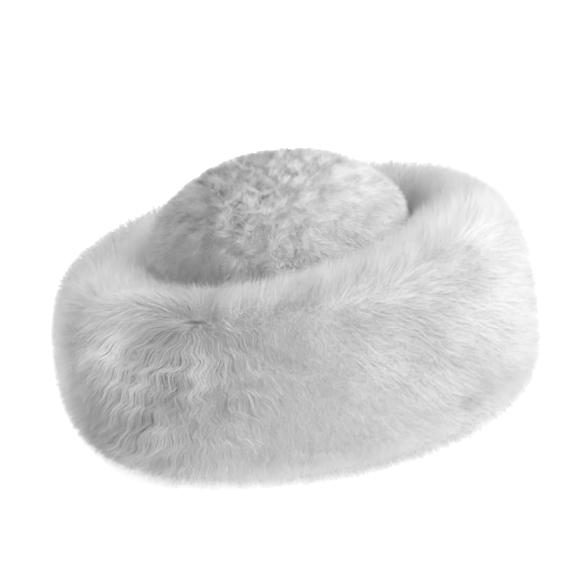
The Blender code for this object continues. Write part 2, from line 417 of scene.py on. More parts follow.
def skin_section(azimuth, steps):
    """The skin's section: the outer form, sunk by the hair's rise, and back under the roll."""
    across, height_up, along = cuff_form(azimuth)
    shares = np.linspace(0.0, 1.0, steps)
    reach = shares * along[-1]
    rho, z = np.interp(reach, along, across), np.interp(reach, along, height_up)
    tangent = np.stack([np.gradient(rho), np.gradient(z)])
    tangent /= np.hypot(*tangent)
    edge_rise = swing(EDGE_RISE, EDGE_RISE_SWING, EDGE_RISE_AZ, azimuth)
    rise = np.interp(shares, (0.0, 0.22, 0.78, 0.94), (FURROW_RISE, FUR_RISE, FUR_RISE, edge_rise))
    rise += [PIT_DEPTH * pit_at(azimuth, s, along[-1]) for s in shares]
    rho, z = rho + tangent[1] * rise, z - tangent[0] * rise
    closed, filled = closed_at(azimuth), z.max() - FURROW_LEFT
    z = np.where(shares < 0.3, z + closed * np.maximum(filled - z, 0.0), z)
    blurred = np.convolve(np.pad(z, len(CREST_BLUR) // 2, mode="edge"), CREST_BLUR, mode="valid")
    rounder = blurred + z.max() - blurred.max()
    z += closed * np.interp(shares, (0.40, 0.60), (1.0, 0.0)) * (rounder - z)
    rho = np.where(shares < 0.02, rho - INTO_THE_PLUSH * closed, rho)
    inner_edge = SEAT_START - INTO_THE_PLUSH * closed
    return np.maximum(rho, inner_edge), np.maximum(z, FOOT_RISE), along[-1]


# %% [markdown]
# ## The lie of the hair
# Hair lies in a flow, like grass in a stream. In front the long hair parts in a whorl round a
# small sunk hollow, painted darker with painted shade, fans out to both sides, and under it
# hangs in crimped locks. Beside the crown it lies along the rim. Everywhere else the coat is
# brushed up into a haze: short-looking hairs that stand out every way. One number, `comb`,
# blends the two: 1 where the hair lies combed in the flow, 0 in the haze. The lightness is
# painted light and shade with clouds of random tone over it: a table of soft hills, each where
# the coat is painted broadly paler or darker.

# %% Flow, comb, crimp and painted light and shade at a place on the cuff
WHORL_AZ, WHORL_SHARE = -99.0, 0.285
FAN_WIDE, FAN_DEEP = 40 * MM, 26 * MM
CREST_REACH = 80 * MM             # how far from the whorl the crest's hair is swept along it
SWEEP_REACH = 75 * MM
COMB_AZ, COMB_SHARE = -109.0, 0.46
COMB_WIDE, COMB_DEEP = 60 * MM, 74 * MM
CRIMP_AZ, CRIMP_SHARE = -99.0, 0.58
CRIMP_WIDE, CRIMP_DEEP = 54 * MM, 42 * MM
MEAN_ROUND = 150 * MM             # arm of the azimuth at the front of the roll
STRAY = 5 * MM                    # how far a tip strays in the haze
PIT_WIDE, PIT_DEEP = 11 * MM, 8 * MM     # the small bare hollow in the middle of the whorl
PIT_DEPTH = 12 * MM
BROAD_WANDER, FINE_WANDER = 34 * MM, 13 * MM
BROAD_CLOUD, FINE_CLOUD = 26 * MM, 12 * MM


def offset_from(azimuth, share, arc, middle_azimuth, middle_share):
    """How far to the side of, and below, a chosen place on the cuff."""
    return math.radians(turn_from(azimuth, middle_azimuth)) * MEAN_ROUND, (share - middle_share) * arc


def hill(side, down, wide, deep):
    """1 in the middle, falling off smoothly."""
    return math.exp(-((side / wide) ** 2) - ((down / deep) ** 2))


def pit_at(azimuth, share, arc):
    """1 in the whorl's hollow."""
    return hill(*offset_from(azimuth, share, arc, WHORL_AZ, WHORL_SHARE), PIT_WIDE, PIT_DEEP)


def flow_at(place, azimuth, share, arc):
    """Sideways and downwards parts of the hair's direction."""
    side, down = offset_from(azimuth, share, arc, WHORL_AZ, WHORL_SHARE)
    comb = comb_at(azimuth, share, arc)
    near = hill(side, down, FAN_WIDE, FAN_DEEP)
    above = smooth(-down, -4 * MM, 18 * MM) * hill(side, 0.0, CREST_REACH, 1.0)
    wander = noise.noise_vector(place / BROAD_WANDER) * 0.55 + noise.noise_vector(place / FINE_WANDER) * 0.45
    wander *= 1.5 * (1.0 - 0.45 * comb) * (0.35 + 0.65 * smooth(share, 0.10, 0.34))
    swept = side / SWEEP_REACH
    sweep = (0.55 if side > 0 else 1.0) * swept * math.exp(0.5 - 0.5 * swept ** 2)
    aside = sweep + 1.7 * math.tanh(side / (9 * MM)) * near + 1.1 * above * math.tanh(side / (15 * MM))
    along = 1.0 - 0.2 * near + 0.6 * near * math.tanh(down / (9 * MM))
    along += above * (-0.30 - along)
    inward = (1.0 - smooth(share, 0.04, 0.34)) * closed_at(azimuth) * (1.0 - 0.7 * comb)
    turn = turn_from(azimuth, WHORL_AZ)
    rim = math.sin(math.radians(turn)) + 0.9 * smooth(abs(turn), 110.0, 170.0)
    aside, along = aside + inward * (1.2 * rim - aside), along + inward * (-0.12 - along)
    return aside + wander.y, along + wander.x


def comb_at(azimuth, share, arc):
    """How combed the coat is."""
    side, down = offset_from(azimuth, share, arc, COMB_AZ, COMB_SHARE)
    return min(1.15 * hill(side, down, COMB_WIDE, COMB_DEEP), 1.0)


def crimp_at(azimuth, share, arc):
    """How wavy the hair is: strongest in the hanging locks under the whorl."""
    side, down = offset_from(azimuth, share, arc, CRIMP_AZ, CRIMP_SHARE)
    return 0.10 + 0.90 * hill(side, down, CRIMP_WIDE, CRIMP_DEEP)


def rise_at(azimuth, share):
    """How high the hair stands: low in the furrow and at the foot, but full at the lower right."""
    right = 0.5 + 0.5 * math.cos(azimuth - math.radians(-10))
    foot, furrow = 0.25 + 0.9 * right ** 4, 0.40 + 0.38 * closed_at(azimuth)
    standing = float(np.interp(share, (0.0, 0.20, 0.72, 0.92), (furrow, 1.0, 1.0, foot)))
    return (0.92 + 0.24 * right) * standing


SHADE_MEAN = 0.67
# Painted light and shade on the coat's colour: darker at the lower left and front left, along the front
# crest, round the whorl's hollow and in the open furrow's shadow; lighter low in front, at the right, at the
# left edge and on the furrow's back wall. A few hills are paler tufts.
PAINTED_LIGHT_HILLS = (
    # azimuth deg, share of the arc, wide mm, deep mm, how much lighter: painted light above 0, painted shade
    # below
    (-122.0, 0.70, 50.0, 44.0, -0.72),
    (-102.0, 0.49, 38.0, 28.0, -0.38),
    (-133.0, 0.22, 24.0, 12.0, 0.35),
    (-112.0, 0.35, 16.0, 10.0, 0.25),
    (-54.0, 0.56, 13.0, 9.0, 0.35),
    (-50.0, 0.66, 110.0, 80.0, 0.36),
    (-108.0, 0.08, 70.0, 26.0, -0.32),
    (-97.0, 0.15, 12.0, 26.0, -0.35),
    (-97.0, 0.28, 13.0, 9.0, -0.55),
    (-152.0, 0.48, 28.0, 55.0, 0.45),
    (-134.0, 0.42, 24.0, 20.0, -0.08),
    (10.0, 0.32, 50.0, 60.0, -0.10),
    (-4.0, 0.16, 70.0, 26.0, 0.20),
    (-85.0, 0.76, 40.0, 26.0, 0.46),
    (-152.0, 0.74, 30.0, 34.0, 0.35),
    (-8.0, 0.46, 44.0, 60.0, 0.26),
    (-54.0, 0.44, 50.0, 28.0, -0.12),
    (30.0, 0.04, 60.0, 20.0, -0.70),
)


def tone_and_painted_light_at(place, azimuth, share, arc):
    """Lightness of the coat, from 0 to 1: broad painted light and shade, and soft clouds of random tone."""
    cloud = noise.noise(place / BROAD_CLOUD) * 0.22 + noise.noise(place / FINE_CLOUD) * 0.22
    shade = SHADE_MEAN + cloud * (0.7 + 1.2 * comb_at(azimuth, share, arc))
    for middle, middle_share, wide, deep, lighter in PAINTED_LIGHT_HILLS:
        side, down = offset_from(azimuth, share, arc, middle, middle_share)
        shade += lighter * hill(side, down, wide * MM, deep * MM)
    return min(max(shade, 0.0), 1.0)


# %% [markdown]
# ## Building a skin
# The cuff's skin is a closed ring of quads: the section, then the flat foot, then the inner
# wall against the crown. Its numbers are stored as named attributes, which Geometry Nodes can
# read anywhere between the vertices: how long the hair is, how wavy, how much it gathers into
# locks or strays, its lightness with painted light and shade, how high it stands and how
# thickly it grows.

# %% Skin mesh of the cuff
CUFF_COLUMNS, CUFF_STEPS = 192, 56
FOOT_INSIDE, INNER_WALL = 22 * MM, 0.6 * MM   # the foot's inner edge, and the wall by the crown
SKIN_NUMBERS = ("reach", "crimp", "gather", "stray", "shade", "down", "rise", "cover", "lock_cover")


def store(mesh, name, kind, values, domain="POINT"):
    """Store one named attribute on a mesh."""
    made = mesh.attributes.new(name, kind, domain)
    field = "vector" if kind == "FLOAT_VECTOR" else "value"
    made.data.foreach_set(field, np.asarray(values, dtype=np.float32).ravel())


def store_coat(mesh, lie, numbers):
    """Store the lie of the hair, and a row of skin numbers for each vertex."""
    store(mesh, "lie", "FLOAT_VECTOR", [tuple(v) for v in lie])
    for name, values in zip(SKIN_NUMBERS, zip(*numbers)):
        store(mesh, name, "FLOAT", values)


def coat_map(mesh, frames):
    """A UV map, U round the hat and V along the lie, with no seam across the last column."""
    layer = mesh.uv_layers.new(name="coat_map")
    for polygon in mesh.polygons:
        for loop in polygon.loop_indices:
            vertex = mesh.loops[loop].vertex_index
            u = frames[vertex][0] / math.tau
            if u < 0.25 and max(frames[v][0] for v in polygon.vertices) > 0.75 * math.tau:
                u += 1.0
            layer.data[loop].uv = (u, frames[vertex][1])


def ring_faces(columns, rows):
    """Quads of a ring whose section closes on itself."""
    return [(c * rows + r, (c + 1) % columns * rows + r,
             (c + 1) % columns * rows + (r + 1) % rows, c * rows + (r + 1) % rows)
            for c in range(columns) for r in range(rows)]


def cuff_ring():
    """The ring's vertices, column by column, and the azimuth, share and arc of each."""
    places, frames = [], []
    for column in range(CUFF_COLUMNS):
        azimuth = math.tau * column / CUFF_COLUMNS
        rho, z, arc = skin_section(azimuth, CUFF_STEPS)
        rho = np.concatenate([rho, [FOOT_INSIDE, INNER_WALL, INNER_WALL]])
        z = np.concatenate([z, [FOOT_RISE, FOOT_RISE, z[0] / 2]])
        for step, (r, h) in enumerate(zip(rho, z)):
            back_x, back_y = HALF_X + SEAT_GAP + r, HALF_Y + SEAT_GAP + r
            places.append(CENTRE + Vector((back_x * math.cos(azimuth), back_y * math.sin(azimuth), h)))
            frames.append((azimuth, step / (CUFF_STEPS - 1), arc))
    return places, frames


def coat_numbers(place, row, azimuth, share, arc):
    """The skin numbers at a vertex, in the order of SKIN_NUMBERS."""
    comb, pit = comb_at(azimuth, share, arc), pit_at(azimuth, share, arc)
    foot = 1.0 if share < 0.93 else (0.35 if row < CUFF_STEPS + 1 else 0.0)
    bare = foot * (1.0 - 0.95 * pit)
    return (
        max(0.50 + 0.50 * comb, 0.95 - 2.0 * share) * (1.0 if share < 0.9 else 0.5),
        crimp_at(azimuth, share, arc),
        0.06 + 0.46 * comb,
        (1.0 - 0.85 * comb * smooth(share, 0.04, 0.24)) * STRAY,
        # the coat's tone and painted light, with painted shade in the whorl's hollow
        tone_and_painted_light_at(place, azimuth, share, arc) * (1.0 - min(1.5 * pit, 1.0)),
        share * arc,
        rise_at(azimuth, share),
        bare * (1.0 - 0.6 * smooth(comb, 0.4, 0.9)),
        bare * smooth(comb, 0.04, 0.80))


def dress_cuff(mesh, places, frames, rows):
    """Store what the hair needs on the cuff's skin, and the painted shade of its wool."""
    lie, numbers = [], []
    for index, frame_here in enumerate(frames):
        column, row = divmod(index, rows)
        after = places[column * rows + min(row + 1, CUFF_STEPS - 1)]
        before = places[column * rows + max(min(row, CUFF_STEPS - 1) - 1, 0)]
        downwards = (after - before).normalized()
        beside = places[(column + 1) % CUFF_COLUMNS * rows + row]
        sideways = (beside - places[index]).normalized()
        aside, along = flow_at(places[index], *frame_here)
        lie.append((sideways * aside + downwards * along).normalized())
        numbers.append(coat_numbers(places[index], row, *frame_here))
    store_coat(mesh, lie, numbers)
    # the wool's painted shade: in the whorl's hollow, and where the coat is painted darker than the mean
    store(mesh, "dark", "FLOAT", [max(pit_at(*at), SHADE_MEAN - tone_and_painted_light_at(place, *at))
                                  for place, at in zip(places, frames)])


def build_cuff_skin():
    """The ring of skin, with what its hair needs stored on it."""
    places, frames = cuff_ring()
    rows = CUFF_STEPS + 3
    mesh = bpy.data.meshes.new("cuff_underfur")
    mesh.from_pydata(places, [], ring_faces(CUFF_COLUMNS, rows))
    builder = bmesh.new()
    builder.from_mesh(mesh)
    bmesh.ops.recalc_face_normals(builder, faces=builder.faces[:])
    builder.to_mesh(mesh)
    builder.free()
    mesh.shade_smooth()
    dress_cuff(mesh, places, frames, rows)
    coat_map(mesh, frames)
    return link_new("cuff_underfur", mesh, cuff_underfur)


cuff_skin = build_cuff_skin()
print("cuff skin faces:", len(cuff_skin.data.polygons))

# %% [markdown]
# ## The crown's skin
# The crown is a soft dome with shallow dents, the same ones as in the solid. Its skin is a
# closed shell a few millimetres thick, with a separate thinner shell of suede inside it. Low
# down, where the crown sits in the cuff, the shell comes out to the solid's own surface, so
# that no gap shows from below. The plush grows from a third skin that is ruffled by a noise
# and thrown away afterwards: its bumps make the tufts stand out.

# %% Skin mesh of the crown
CROWN_DENTS = (
    # azimuth deg, height mm, push mm, spread mm
    (20.0, 124.0, 5.0, 19.0),
    (-6.0, 118.0, -2.5, 15.0),
    (-40.0, 132.0, -2.5, 22.0),
    (-72.0, 120.0, 3.0, 17.0),
    (-98.0, 138.0, -3.0, 24.0),
    (-128.0, 118.0, 2.5, 26.0),
    (-178.0, 121.0, 2.5, 21.0),
    (95.0, 134.0, -3.0, 26.0),
    (60.0, 112.0, 2.5, 22.0),
)
PLUSH_RISE = 4.2 * MM             # from the crown's skin to the tips of its sheared pile
HIDE_THICK = 1.6 * MM
WALL_SHARE = 0.4                  # the share of the way up that is the upright wall
RUFFLE, RUFFLE_LIMIT = 3.5 * MM, 2 * MM


def crown_ring(inset, share):
    """Half axes, height and lean of the crown at a share of its way up."""
    half_x, half_y = HALF_X - inset, HALF_Y - inset
    if share <= WALL_SHARE:
        height = CROWN_EDGE_Z + (CROWN_SPRING_Z - CROWN_EDGE_Z) * share / WALL_SHARE
        return half_x, half_y, height, 0.0
    angle = math.radians(90) * (share - WALL_SHARE) / (1 - WALL_SHARE)
    narrowing = max(math.cos(angle), 0.0) ** (2 / DOME_SHOULDER)
    dome = CROWN_TOP_Z - inset - CROWN_SPRING_Z
    height = CROWN_SPRING_Z + dome * math.sin(angle) ** (2 / DOME_FLATNESS)
    return half_x * narrowing, half_y * narrowing, height, math.sin(angle) ** 2


def dent_centres():
    """Each dent's middle on the even dome."""
    for azimuth, height, push, spread in CROWN_DENTS:
        rise = (height * MM - CROWN_SPRING_Z) / (CROWN_TOP_Z - CROWN_SPRING_Z)
        reach = (1 - rise ** DOME_FLATNESS) ** (1 / DOME_SHOULDER)
        angle = math.radians(azimuth)
        x, y = HALF_X * reach * math.cos(angle), HALF_Y * reach * math.sin(angle)
        yield Vector((x, y, height * MM)), push * MM, spread * MM


DENTS = list(dent_centres())
CROWN_ZONES = (
    # azimuth deg, how mottled, how light: painted light and shade
    (-180.0, 0.20, 0.30),
    (-106.0, 0.20, 0.22),
    (-100.0, 1.00, 0.74),
    (-74.0, 1.00, 0.68),
    (-60.0, 0.60, 0.62),
    (-53.0, 0.25, 0.98),
    (-45.0, 0.20, 0.98),
    (-38.0, 0.20, 0.74),
    (0.0, 0.10, 0.82),
    (120.0, 0.50, 0.45),
    (180.0, 0.20, 0.35),
)
ZONE_LEAN = -70.0                 # how far the zones turn, in degrees, from the foot to the top


def crown_mottle_and_painted_light(azimuth, share, place):
    """How mottled the plush is, and how light it is painted: painted light and shade."""
    azimuths, mottles, lights = zip(*CROWN_ZONES)
    turn = turn_from(azimuth, 0.0) + 7 * noise.noise(place / (14 * MM))
    turn -= ZONE_LEAN * max(share - 0.6, 0.0)
    rough, light = np.interp(turn, azimuths, mottles), np.interp(turn, azimuths, lights)
    top = smooth(share, 0.84, 0.96)
    # painted light: the top is painted lighter towards the right
    light += (0.60 + 0.15 * math.cos(azimuth + math.radians(20)) - light) * top
    # painted light low down, against the shade that the cuff's crest casts
    light += 0.70 * (1.0 - smooth(share, 0.40, 0.68))
    return rough + (0.35 - rough) * top, light


def crown_place(inset, share, azimuth, relief=0.0):
    """A point on the crown, with its dents and, on the skin that plush grows from, its tufts."""
    half_x, half_y, height, lean = crown_ring(inset, share)
    x, y = half_x * math.cos(azimuth), half_y * math.sin(azimuth)
    place = Vector((x, y, height))
    outward = Vector((x, y, max(height - CROWN_SPRING_Z, 0.0))).normalized()
    if height > CROWN_SPRING_Z:
        outer = place + outward * inset
        place += outward * sum(push * math.exp(-((outer - centre).length / spread) ** 2)
                               for centre, push, spread in DENTS)
        if relief:
            rough, _ = crown_mottle_and_painted_light(azimuth, share, place)
            tufts = noise.noise(place / (9 * MM)) + 0.6 * noise.noise(place / (4.5 * MM))
            place += outward * min(max(rough * relief * tufts, -RUFFLE_LIMIT), RUFFLE_LIMIT)
    return place + Vector((DOME_LEAN[0], DOME_LEAN[1], 0.0)) * lean + CENTRE


def bridge(builder, lower, upper):
    """Quads between two rings of vertices."""
    for i in range(len(lower)):
        j = (i + 1) % len(lower)
        builder.faces.new((lower[i], lower[j], upper[j], upper[i]))


def crown_shell(name, insets, material, columns=96, steps=36, relief=0.0, fills_seat=False):
    """A closed shell between two insets, open at the bottom for the head, or one open skin."""
    builder = bmesh.new()
    shares = [i / steps for i in range(steps)] + [1 - 0.3 / steps]
    angles = [math.tau * i / columns for i in range(columns)]
    rims, frames = [], []
    for inset in insets:
        depths = [inset] * len(shares)
        if fills_seat and inset == insets[0]:
            depths = [inset * smooth(share, 0.26, 0.36) for share in shares]
        rings = [[builder.verts.new(crown_place(depth, share, angle, relief)) for angle in angles]
                 for depth, share in zip(depths, shares)]
        apex = builder.verts.new(crown_place(inset, 1.0, 0.0))
        frames += [(angle, share) for share in shares for angle in angles] + [(0.0, 1.0)]
        for lower, upper in zip(rings, rings[1:]):
            bridge(builder, lower, upper)
        for i in range(columns):
            builder.faces.new((rings[-1][i], rings[-1][(i + 1) % columns], apex))
        rims.append(rings[0])
    for first, second in zip(rims, rims[1:]):
        bridge(builder, second, first)
    bmesh.ops.recalc_face_normals(builder, faces=builder.faces[:])
    mesh = bpy.data.meshes.new(name)
    builder.to_mesh(mesh)
    builder.free()
    mesh.shade_smooth()
    coat_map(mesh, frames)
    return link_new(name, mesh, material), frames


CROWN_SKIN_INSET, HIDE_GAP = PLUSH_RISE + 0.8 * MM, 0.3 * MM
HIDE_INSET = CROWN_WALL - HIDE_THICK
crown_skin, _ = crown_shell("crown_underfur", (CROWN_SKIN_INSET, HIDE_INSET - HIDE_GAP), crown_underfur,
                            fills_seat=True)
crown_hide, _ = crown_shell("crown_hide", (HIDE_INSET, CROWN_WALL), suede)
crown_walk, crown_frames = crown_shell("crown_walk", (PLUSH_RISE,), crown_underfur,
                                       columns=220, steps=84, relief=RUFFLE)
print("crown skin faces:", len(crown_skin.data.polygons))

# %% [markdown]
# ## The lie of the plush
# Sheared pile stands up and leans a little, in patches as wide as a thumb: that is what makes
# plush look mottled. On the left the nap lies smooth and down, so it is calmer there, and it is
# painted darker, as painted shade. A smooth streak, painted paler, runs down the right of the
# front. Between the two it leans every way. A table of zones round the crown says how mottled
# it is and how much painted light or shade it takes. Low down, where the cuff's crest casts
# shade on it, the plush is painted lighter, and its top is painted lighter towards the right.

# %% Flow of the plush
BROAD_LEAN, FINE_LEAN = 9 * MM, 3.5 * MM
SEATED_SHARE = 0.36               # below this the crown sits in the cuff and grows no plush


def dress_crown_walk():
    """Store lie and the other numbers on the skin that the plush grows from."""
    lie, numbers = [], []
    for vertex, (azimuth, share) in zip(crown_walk.data.vertices, crown_frames):
        place = vertex.co
        rough, light = crown_mottle_and_painted_light(azimuth, share, place)
        wander = noise.noise_vector(place / BROAD_LEAN) * 1.8 + noise.noise_vector(place / FINE_LEAN) * 1.8
        flow = Vector((0.1, -0.2, -1.0)) * (1.0 - 0.6 * rough) + wander * (0.15 + 0.85 * rough)
        lie.append((flow - vertex.normal * flow.dot(vertex.normal)).normalized())
        cloud = noise.noise(place / (9 * MM)) * 0.7 + noise.noise(place / (4 * MM)) * 1.2
        reach = 0.6 + 0.4 * rough + 0.25 * noise.noise(place / (16 * MM))
        # the zone's painted light and shade, with mottled clouds of tone
        shade = min(max(light + rough * cloud, 0.0), 1.0)
        cover = 1.0 if share > SEATED_SHARE else 0.0
        gather, stray = 0.10 + 0.45 * rough, (0.4 + 1.2 * rough) * MM
        numbers.append((reach, 0.0, gather, stray, shade, 0.0, 1.0, cover, 0.0))
    store_coat(crown_walk.data, lie, numbers)


dress_crown_walk()
print("crown walk vertices:", len(crown_walk.data.vertices))

# %% [markdown]
# ## Growing hair with Geometry Nodes
# A hair has one of two shapes. A long lock hair is a blade, a thin tapered strip that can
# wave. A short hair of the fluff or the plush is a spike with three sides, which takes the
# light from every side and costs only three faces.
#
# The tree scatters roots over a skin, puts a hair on each, and then walks every vertex of the
# hair along the skin, following the stored lie for as many steps as the vertex is far from the
# root. Walking keeps a long hair on a curved roll, where a straight one would cut through it.
# Then the vertex is lifted off the skin, drawn towards the middle of its lock, crimped, and
# moved aside by half the hair's width. Hair could also be Blender's own hair curves, but those
# aren't meshes, and the finished model must be meshes.

# %% One hair of each kind
def hair_shape(name, rings, faces):
    """A hair with every vertex at the origin: its shape is in three attributes."""
    mesh = bpy.data.meshes.new(name)
    mesh.from_pydata([(0.0, 0.0, 0.0)] * len(rings), [], faces)
    mesh.shade_smooth()
    for place, attribute in enumerate(("along", "side", "rim")):
        store(mesh, attribute, "FLOAT", [ring[place] for ring in rings])
    return link_new(name, mesh)


def blade(segments):
    """A long hair: a tapered strip of quads with a pointed end."""
    rings = [(i / segments, side, 0.0) for i in range(segments) for side in (-1.0, 1.0)]
    rings.append((1.0, 0.0, 0.0))
    faces = [(2 * i + 1, 2 * i, 2 * i + 2, 2 * i + 3) for i in range(segments - 1)]
    faces.append((2 * segments - 1, 2 * segments - 2, 2 * segments))
    return hair_shape("blade", rings, faces)


def spike():
    """A short hair: a three-sided spike, its edge upwards, so that its upper sides take the light."""
    turns = [math.pi + math.tau * i / 3 for i in range(3)]
    rings = [(0.0, math.sin(turn), math.cos(turn)) for turn in turns] + [(1.0, 0.0, 0.0)]
    return hair_shape("spike", rings, [(0, 1, 3), (1, 2, 3), (2, 0, 3)])


# %% The tree that grows hair
HAIR_INPUTS = (
    # name, kind, default
    ("Hair shape", "NodeSocketObject", None),
    ("Cover", "NodeSocketString", "cover"),
    ("Segments", "NodeSocketInt", 5),
    ("Root spacing", "NodeSocketFloat", 1.4 * MM),
    ("Length", "NodeSocketFloat", 40 * MM),
    ("Root width", "NodeSocketFloat", 0.8 * MM),
    ("Twist", "NodeSocketFloat", 0.0),
    ("Rise", "NodeSocketFloat", 12 * MM),
    ("Sparse rise", "NodeSocketFloat", 0.6),
    ("Lock spacing", "NodeSocketFloat", 9 * MM),
    ("Lock drift", "NodeSocketFloat", 6 * MM),
    ("Crimp size", "NodeSocketFloat", 2 * MM),
    ("Crimp length", "NodeSocketFloat", 14 * MM),
    ("Lock tone", "NodeSocketFloat", 0.1),
    ("Own tone", "NodeSocketFloat", 0.22),
    ("Sector", "NodeSocketInt", 0),
    ("Seed", "NodeSocketInt", 1),
    ("Material", "NodeSocketMaterial", None),
)


def named(tree, name, kind="FLOAT"):
    """Read a named attribute."""
    return out(add(tree, "GeometryNodeInputNamedAttribute", {"Name": name}, data_type=kind), "Attribute")


def keep(tree, geometry, name, value, kind="FLOAT"):
    """Store a named attribute on points."""
    return out(add(tree, "GeometryNodeStoreNamedAttribute",
                   {"Geometry": geometry, "Name": name, "Value": value}, data_type=kind, domain="POINT"))


def chance(tree, given, low, high, turn, kind="FLOAT", **joins):
    """A random value for each point; turn tells the draws of one seed apart."""
    seed = plus(tree, given["Seed"], turn) if turn else given["Seed"]
    return out(add(tree, "FunctionNodeRandomValue", {"Min": low, "Max": high, "Seed": seed, **joins},
                   data_type=kind))


def nearest(tree, given, value, place, kind="FLOAT_VECTOR"):
    """A value of the skin at the place on it that is nearest."""
    found = add(tree, "GeometryNodeSampleNearestSurface",
                {"Mesh": given["Skin"], "Value": value, "Sample Position": place}, data_type=kind)
    return out(found, "Value")


def scatter(tree, given, spacing, density, turn, **joins):
    """Points on the skin that keep their distance from each other."""
    seed = plus(tree, given["Seed"], turn) if turn else given["Seed"]
    return add(tree, "GeometryNodeDistributePointsOnFaces", {
        "Mesh": given["Skin"], "Distance Min": spacing, "Density Max": density, "Seed": seed,
        **{key.replace("_", " "): join for key, join in joins.items()}}, distribute_method="POISSON")


CROWDING = 2.2                    # points tried for each square of the root spacing
LOCK_DENSITY = 40000.0            # lock middles tried for each square metre
PATCH = 38 * MM                   # neighbouring locks in a patch this wide wave in step


def hairs_on_roots(tree, given, place):
    """Scattered roots with their random numbers, and a real hair on each."""
    mine = out(add(tree, "FunctionNodeCompare", {2: named(tree, "sector", "INT"), 3: given["Sector"]},
                   data_type="INT", operation="EQUAL"))
    spacing, cover = given["Root spacing"], named(tree, given["Cover"])
    crowd = maths(tree, "DIVIDE", CROWDING, times(tree, spacing, spacing))
    roots = scatter(tree, given, spacing, crowd, 0, Selection=mine, Density_Factor=cover)

    # Each root finds the nearest middle of a lock, and leans to it and a little astray.
    locks = out(scatter(tree, given, given["Lock spacing"], LOCK_DENSITY, 3), "Points")
    lock = out(add(tree, "GeometryNodeSampleNearest", {"Geometry": locks}), "Index")
    middle = out(add(tree, "GeometryNodeSampleIndex", {"Geometry": locks, "Value": place, "Index": lock},
                     data_type="FLOAT_VECTOR"))
    to_lock = vector_maths(tree, "SUBTRACT", middle, place)
    to_lock = vector_maths(tree, "SCALE", to_lock, scale=named(tree, "gather"))
    any_way = chance(tree, given, (-1.0, -1.0, -1.0), (1.0, 1.0, 1.0), 15, "FLOAT_VECTOR")
    upright = vector_maths(tree, "PROJECT", any_way, out(roots, "Normal"))
    flat_way = vector_maths(tree, "SUBTRACT", any_way, upright)
    astray = vector_maths(tree, "SCALE", flat_way, scale=named(tree, "stray"))
    aim = vector_maths(tree, "ADD", to_lock, astray)
    points = keep(tree, out(roots, "Points"), "aim", aim, "FLOAT_VECTOR")

    patch = add(tree, "ShaderNodeTexNoise", {"Vector": place, "Scale": 1 / PATCH, "Detail": 1.0}).outputs[0]
    sunk = out(add(tree, "ShaderNodeMapRange", {"Value": cover, "To Min": given["Sparse rise"]}))
    numbers = {
        "lock_chance": chance(tree, given, 0.0, 1.0, 0, ID=lock),
        "patch": patch,
        # cloud carries the skin's lightness: random clouds of tone, and painted light and shade
        "cloud": named(tree, "shade"),
        "own_chance": chance(tree, given, 0.0, 1.0, 11),
        "twist": times(tree, chance(tree, given, -1.0, 1.0, 12), given["Twist"]),
        "lift": times(tree, named(tree, "rise"), sunk, chance(tree, given, 0.68, 1.14, 13)),
        "size": times(tree, named(tree, "reach"), chance(tree, given, 0.72, 1.12, 14)),
    }
    for name, value in numbers.items():
        points = keep(tree, points, name, value)
    shape = out(add(tree, "GeometryNodeObjectInfo", {"Object": given["Hair shape"]}), "Geometry")
    stood = out(add(tree, "GeometryNodeInstanceOnPoints", {"Points": points, "Instance": shape}))
    return out(add(tree, "GeometryNodeRealizeInstances", {"Geometry": stood})), ("aim", *numbers)


def walk_along(tree, given, hair, place):
    """Every vertex walks along the lie, one segment's length for each turn of the loop."""
    start = tree.nodes.new("GeometryNodeRepeatInput")
    end = tree.nodes.new("GeometryNodeRepeatOutput")
    start.pair_with_output(end)
    tree.links.new(hair, start.inputs["Geometry"])
    tree.links.new(given["Segments"], start.inputs["Iterations"])
    length = times(tree, given["Length"], named(tree, "size"))
    step_length = maths(tree, "DIVIDE", length, given["Segments"])
    steps = times(tree, named(tree, "along"), given["Segments"])
    left = maths(tree, "SUBTRACT", steps, start.outputs["Iteration"])
    moving = maths(tree, "MINIMUM", maths(tree, "MAXIMUM", left, 0.0), 1.0)
    lie = nearest(tree, given, named(tree, "lie", "FLOAT_VECTOR"), place)
    stride = vector_maths(tree, "SCALE", lie, scale=times(tree, step_length, moving))
    back_on = nearest(tree, given, place, vector_maths(tree, "ADD", place, stride))
    moved = add(tree, "GeometryNodeSetPosition", {"Geometry": start.outputs["Geometry"], "Position": back_on})
    tree.links.new(out(moved), end.inputs["Geometry"])
    return end.outputs["Geometry"]


def waved(tree, given, along, place):
    """How far to the side a vertex swings, in step with its lock."""
    crimp = nearest(tree, given, named(tree, "crimp"), place, "FLOAT")
    path = nearest(tree, given, named(tree, "down"), place, "FLOAT")
    phase = plus(tree, times(tree, named(tree, "lock_chance"), 1.3), times(tree, named(tree, "patch"), 10.0))
    turns = times(tree, maths(tree, "DIVIDE", path, given["Crimp length"]), math.tau)
    wave = maths(tree, "SINE", plus(tree, turns, phase))
    growing = maths(tree, "MINIMUM", times(tree, along, 4.0), 1.0)
    return times(tree, wave, times(tree, crimp, given["Crimp size"]), growing)


